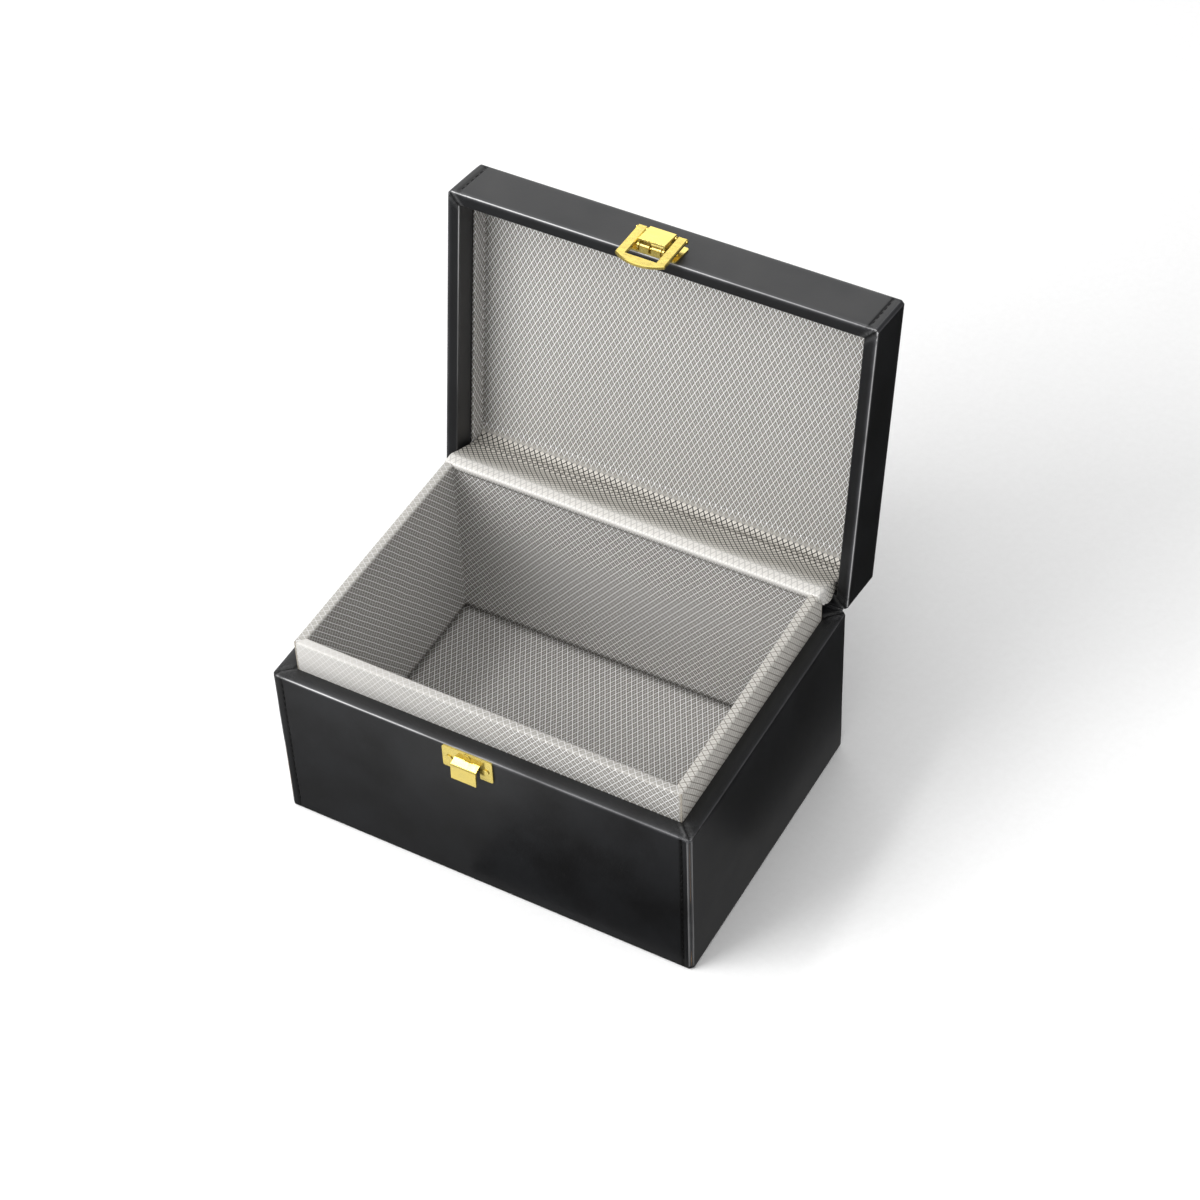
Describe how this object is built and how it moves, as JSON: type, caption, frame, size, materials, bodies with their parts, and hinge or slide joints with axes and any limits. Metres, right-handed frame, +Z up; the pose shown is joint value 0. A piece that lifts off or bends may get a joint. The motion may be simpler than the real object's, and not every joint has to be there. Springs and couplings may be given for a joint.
{
  "type": "key box",
  "caption": "Leather-covered box with a hinged lid, a conductive cloth lining that stands up as a lip, and a toggle latch on its front.",
  "frame": {"origin": "centre of the base's underside, halfway between its front and back and between its sides", "axes": "+Z up from the underside, +Y from the front to the hinge, +X to the right as seen from the front"},
  "size_m": [0.2, 0.1943, 0.2325],
  "materials": {
    "leather": "satin, fine grain",
    "silver_cloth": "woven, silvery, with a raised diamond lattice",
    "board": "raw fibreboard",
    "lining_board": "raw grey board",
    "plated_metal": "polished, gold-coloured plating",
    "thread": "matt sewing thread"
  },
  "bodies": {
    "base": {"base_board_back": "board", "base_board_bottom": "board", "base_board_front": "board", "base_board_left": "board", "base_board_right": "board", "base_leather_back": "leather", "base_leather_bottom": "leather", "base_leather_front": "leather", "base_leather_left": "leather", "base_leather_right": "leather", "base_stitching": "thread", "hinge_cloth": "silver_cloth", "hinge_leather_strip": "leather", "keeper_plate": "plated_metal", "keeper_rivet": "plated_metal", "keeper_screws": "plated_metal", "liner_board_back": "lining_board", "liner_board_floor": "lining_board", "liner_board_front": "lining_board", "liner_board_left": "lining_board", "liner_board_right": "lining_board", "liner_cloth_back": "silver_cloth", "liner_cloth_floor": "silver_cloth", "liner_cloth_front": "silver_cloth", "liner_cloth_left": "silver_cloth", "liner_cloth_right": "silver_cloth"},
    "lid": {"lid_board_back": "board", "lid_board_front": "board", "lid_board_left": "board", "lid_board_right": "board", "lid_board_top": "board", "lid_insert_back": "silver_cloth", "lid_insert_front": "silver_cloth", "lid_insert_left": "silver_cloth", "lid_insert_panel": "silver_cloth", "lid_insert_right": "silver_cloth", "lid_leather_back": "leather", "lid_leather_front": "leather", "lid_leather_left": "leather", "lid_leather_right": "leather", "lid_leather_top": "leather", "lid_stitching": "thread", "latch_plate": "plated_metal", "latch_plate_screws": "plated_metal"},
    "lever": {"latch_lever": "plated_metal", "lever_pivot_pin": "plated_metal"},
    "loop_rod": {"loop_pin": "plated_metal", "loop_washers": "plated_metal"},
    "loop": {"latch_loop": "plated_metal"}
  },
  "joints": [
    {"name": "lid_hinge", "type": "hinge", "parent": "base", "child": "lid", "pos_m": [0, 0.07175, 0.08485], "axis": [1, 0, 0], "range_deg": [0, 98], "deforming": ["hinge_cloth", "hinge_leather_strip"]},
    {"name": "lever_turn", "type": "hinge", "parent": "lid", "child": "lever", "pos_m": [-0.0036, 0.09384, 0.22908], "axis": [1, 0, 0], "range_deg": [0, 105]},
    {"name": "rod_turn", "type": "hinge", "parent": "lever", "child": "loop_rod", "pos_m": [-0.0036, 0.10323, 0.22978], "axis": [1, 0, 0], "range_deg": [-105, 0]},
    {"name": "loop_swing", "type": "hinge", "parent": "loop_rod", "child": "loop", "pos_m": [-0.0036, 0.10323, 0.22978], "axis": [-1, 0, 0], "range_deg": [0, 100]}
  ],
  "couplings": [
    {"joint": "rod_turn", "follows": "lever_turn", "ratio": -1}
  ]
}
